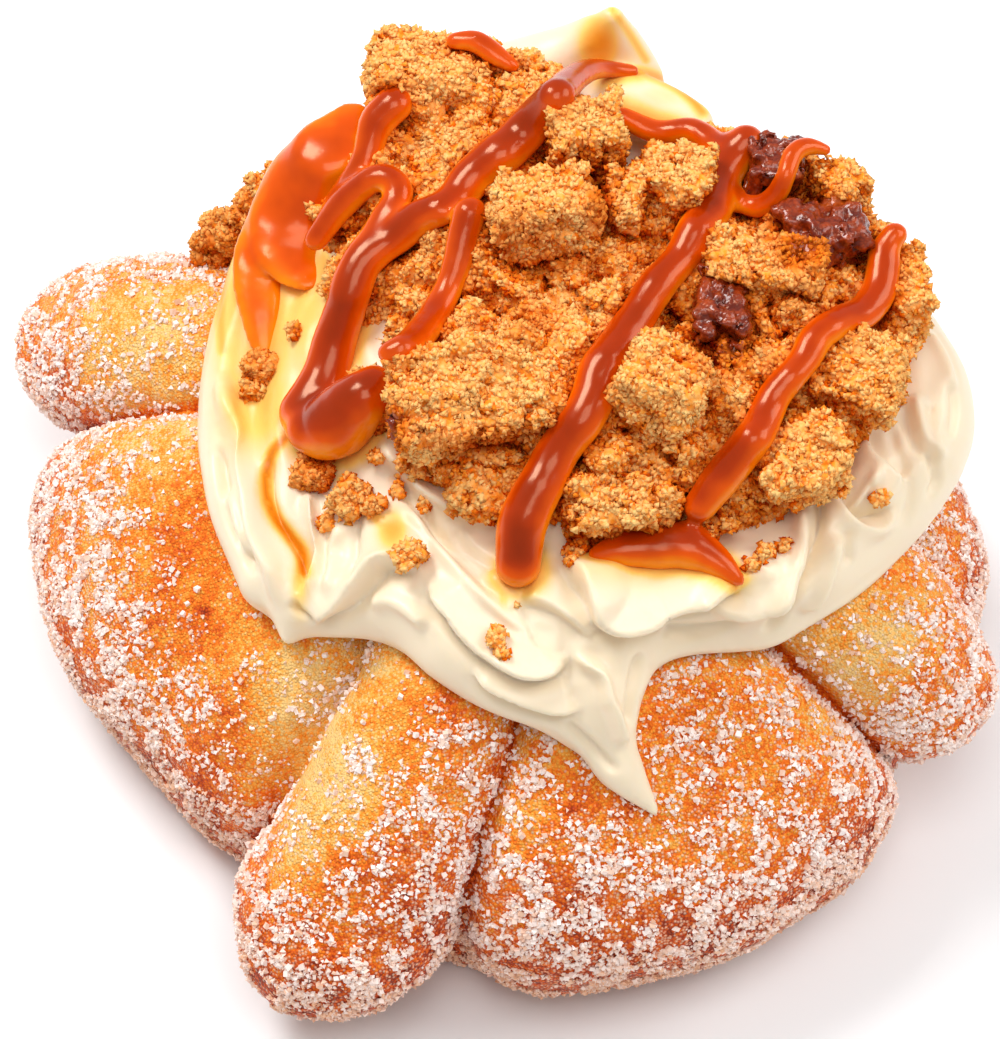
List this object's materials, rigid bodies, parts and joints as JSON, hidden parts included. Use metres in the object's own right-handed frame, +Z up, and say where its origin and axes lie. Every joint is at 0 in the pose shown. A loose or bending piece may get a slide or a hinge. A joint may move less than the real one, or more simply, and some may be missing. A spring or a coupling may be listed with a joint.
{
  "type": "pan de muerto",
  "caption": "Sugared sweet bun with crossed dough bones, topped with a swirl of cream, biscuit crumble and ropes of caramel.",
  "frame": {"origin": "centre of the bun's flat underside", "axes": "+Z up out of the bread; -Y is the front, where the tongue of cream runs down; +X is to the right seen from the front"},
  "size_m": [0.1185, 0.1153, 0.0715],
  "materials": {
    "crust": "golden-orange baked crust with granulated sugar stuck to it",
    "bone_crust": "golden baked crust, paler on the ridges, with granulated sugar stuck to it",
    "cream": "smooth ivory cream with a soft sheen, folded and swirled",
    "crumb": "open, grainy golden-brown biscuit crumb",
    "glazed_crumb": "crumb soaked dark with sticky caramel",
    "caramel": "thick glossy amber-brown caramel"
  },
  "bodies": {
    "root": {"bone_back_left": "bone_crust", "bone_back_right": "bone_crust", "bone_front_left": "bone_crust", "bone_right": "bone_crust", "bun": "crust", "caramel_back": "caramel", "caramel_branch": "caramel", "caramel_left_knob": "caramel", "caramel_left_loop": "caramel", "caramel_left_pool": "caramel", "caramel_left_sheet": "caramel", "caramel_long_left": "caramel", "caramel_main": "caramel", "caramel_pool": "caramel", "caramel_right": "caramel", "caramel_small_loop": "caramel", "caramel_top_link": "caramel", "cream": "cream", "crumble_chunk_back": "crumb", "crumble_chunk_behind": "crumb", "crumble_chunk_crown": "crumb", "crumble_chunk_edge": "crumb", "crumble_chunk_far_right": "crumb", "crumble_chunk_front": "crumb", "crumble_chunk_glazed_low": "glazed_crumb", "crumble_chunk_glazed_side": "glazed_crumb", "crumble_chunk_glazed_top": "glazed_crumb", "crumble_chunk_lip": "crumb", "crumble_chunk_low_right": "crumb", "crumble_chunk_middle": "crumb", "crumble_chunk_ridge": "crumb", "crumble_chunk_right": "crumb", "crumble_chunk_small_front": "crumb", "crumble_chunk_spur": "crumb", "crumble_chunk_upper": "crumb", "crumble_heap": "crumb", "crumble_slab": "crumb", "crumble_stray_lower": "crumb", "crumble_stray_upper": "crumb"}
  },
  "joints": []
}
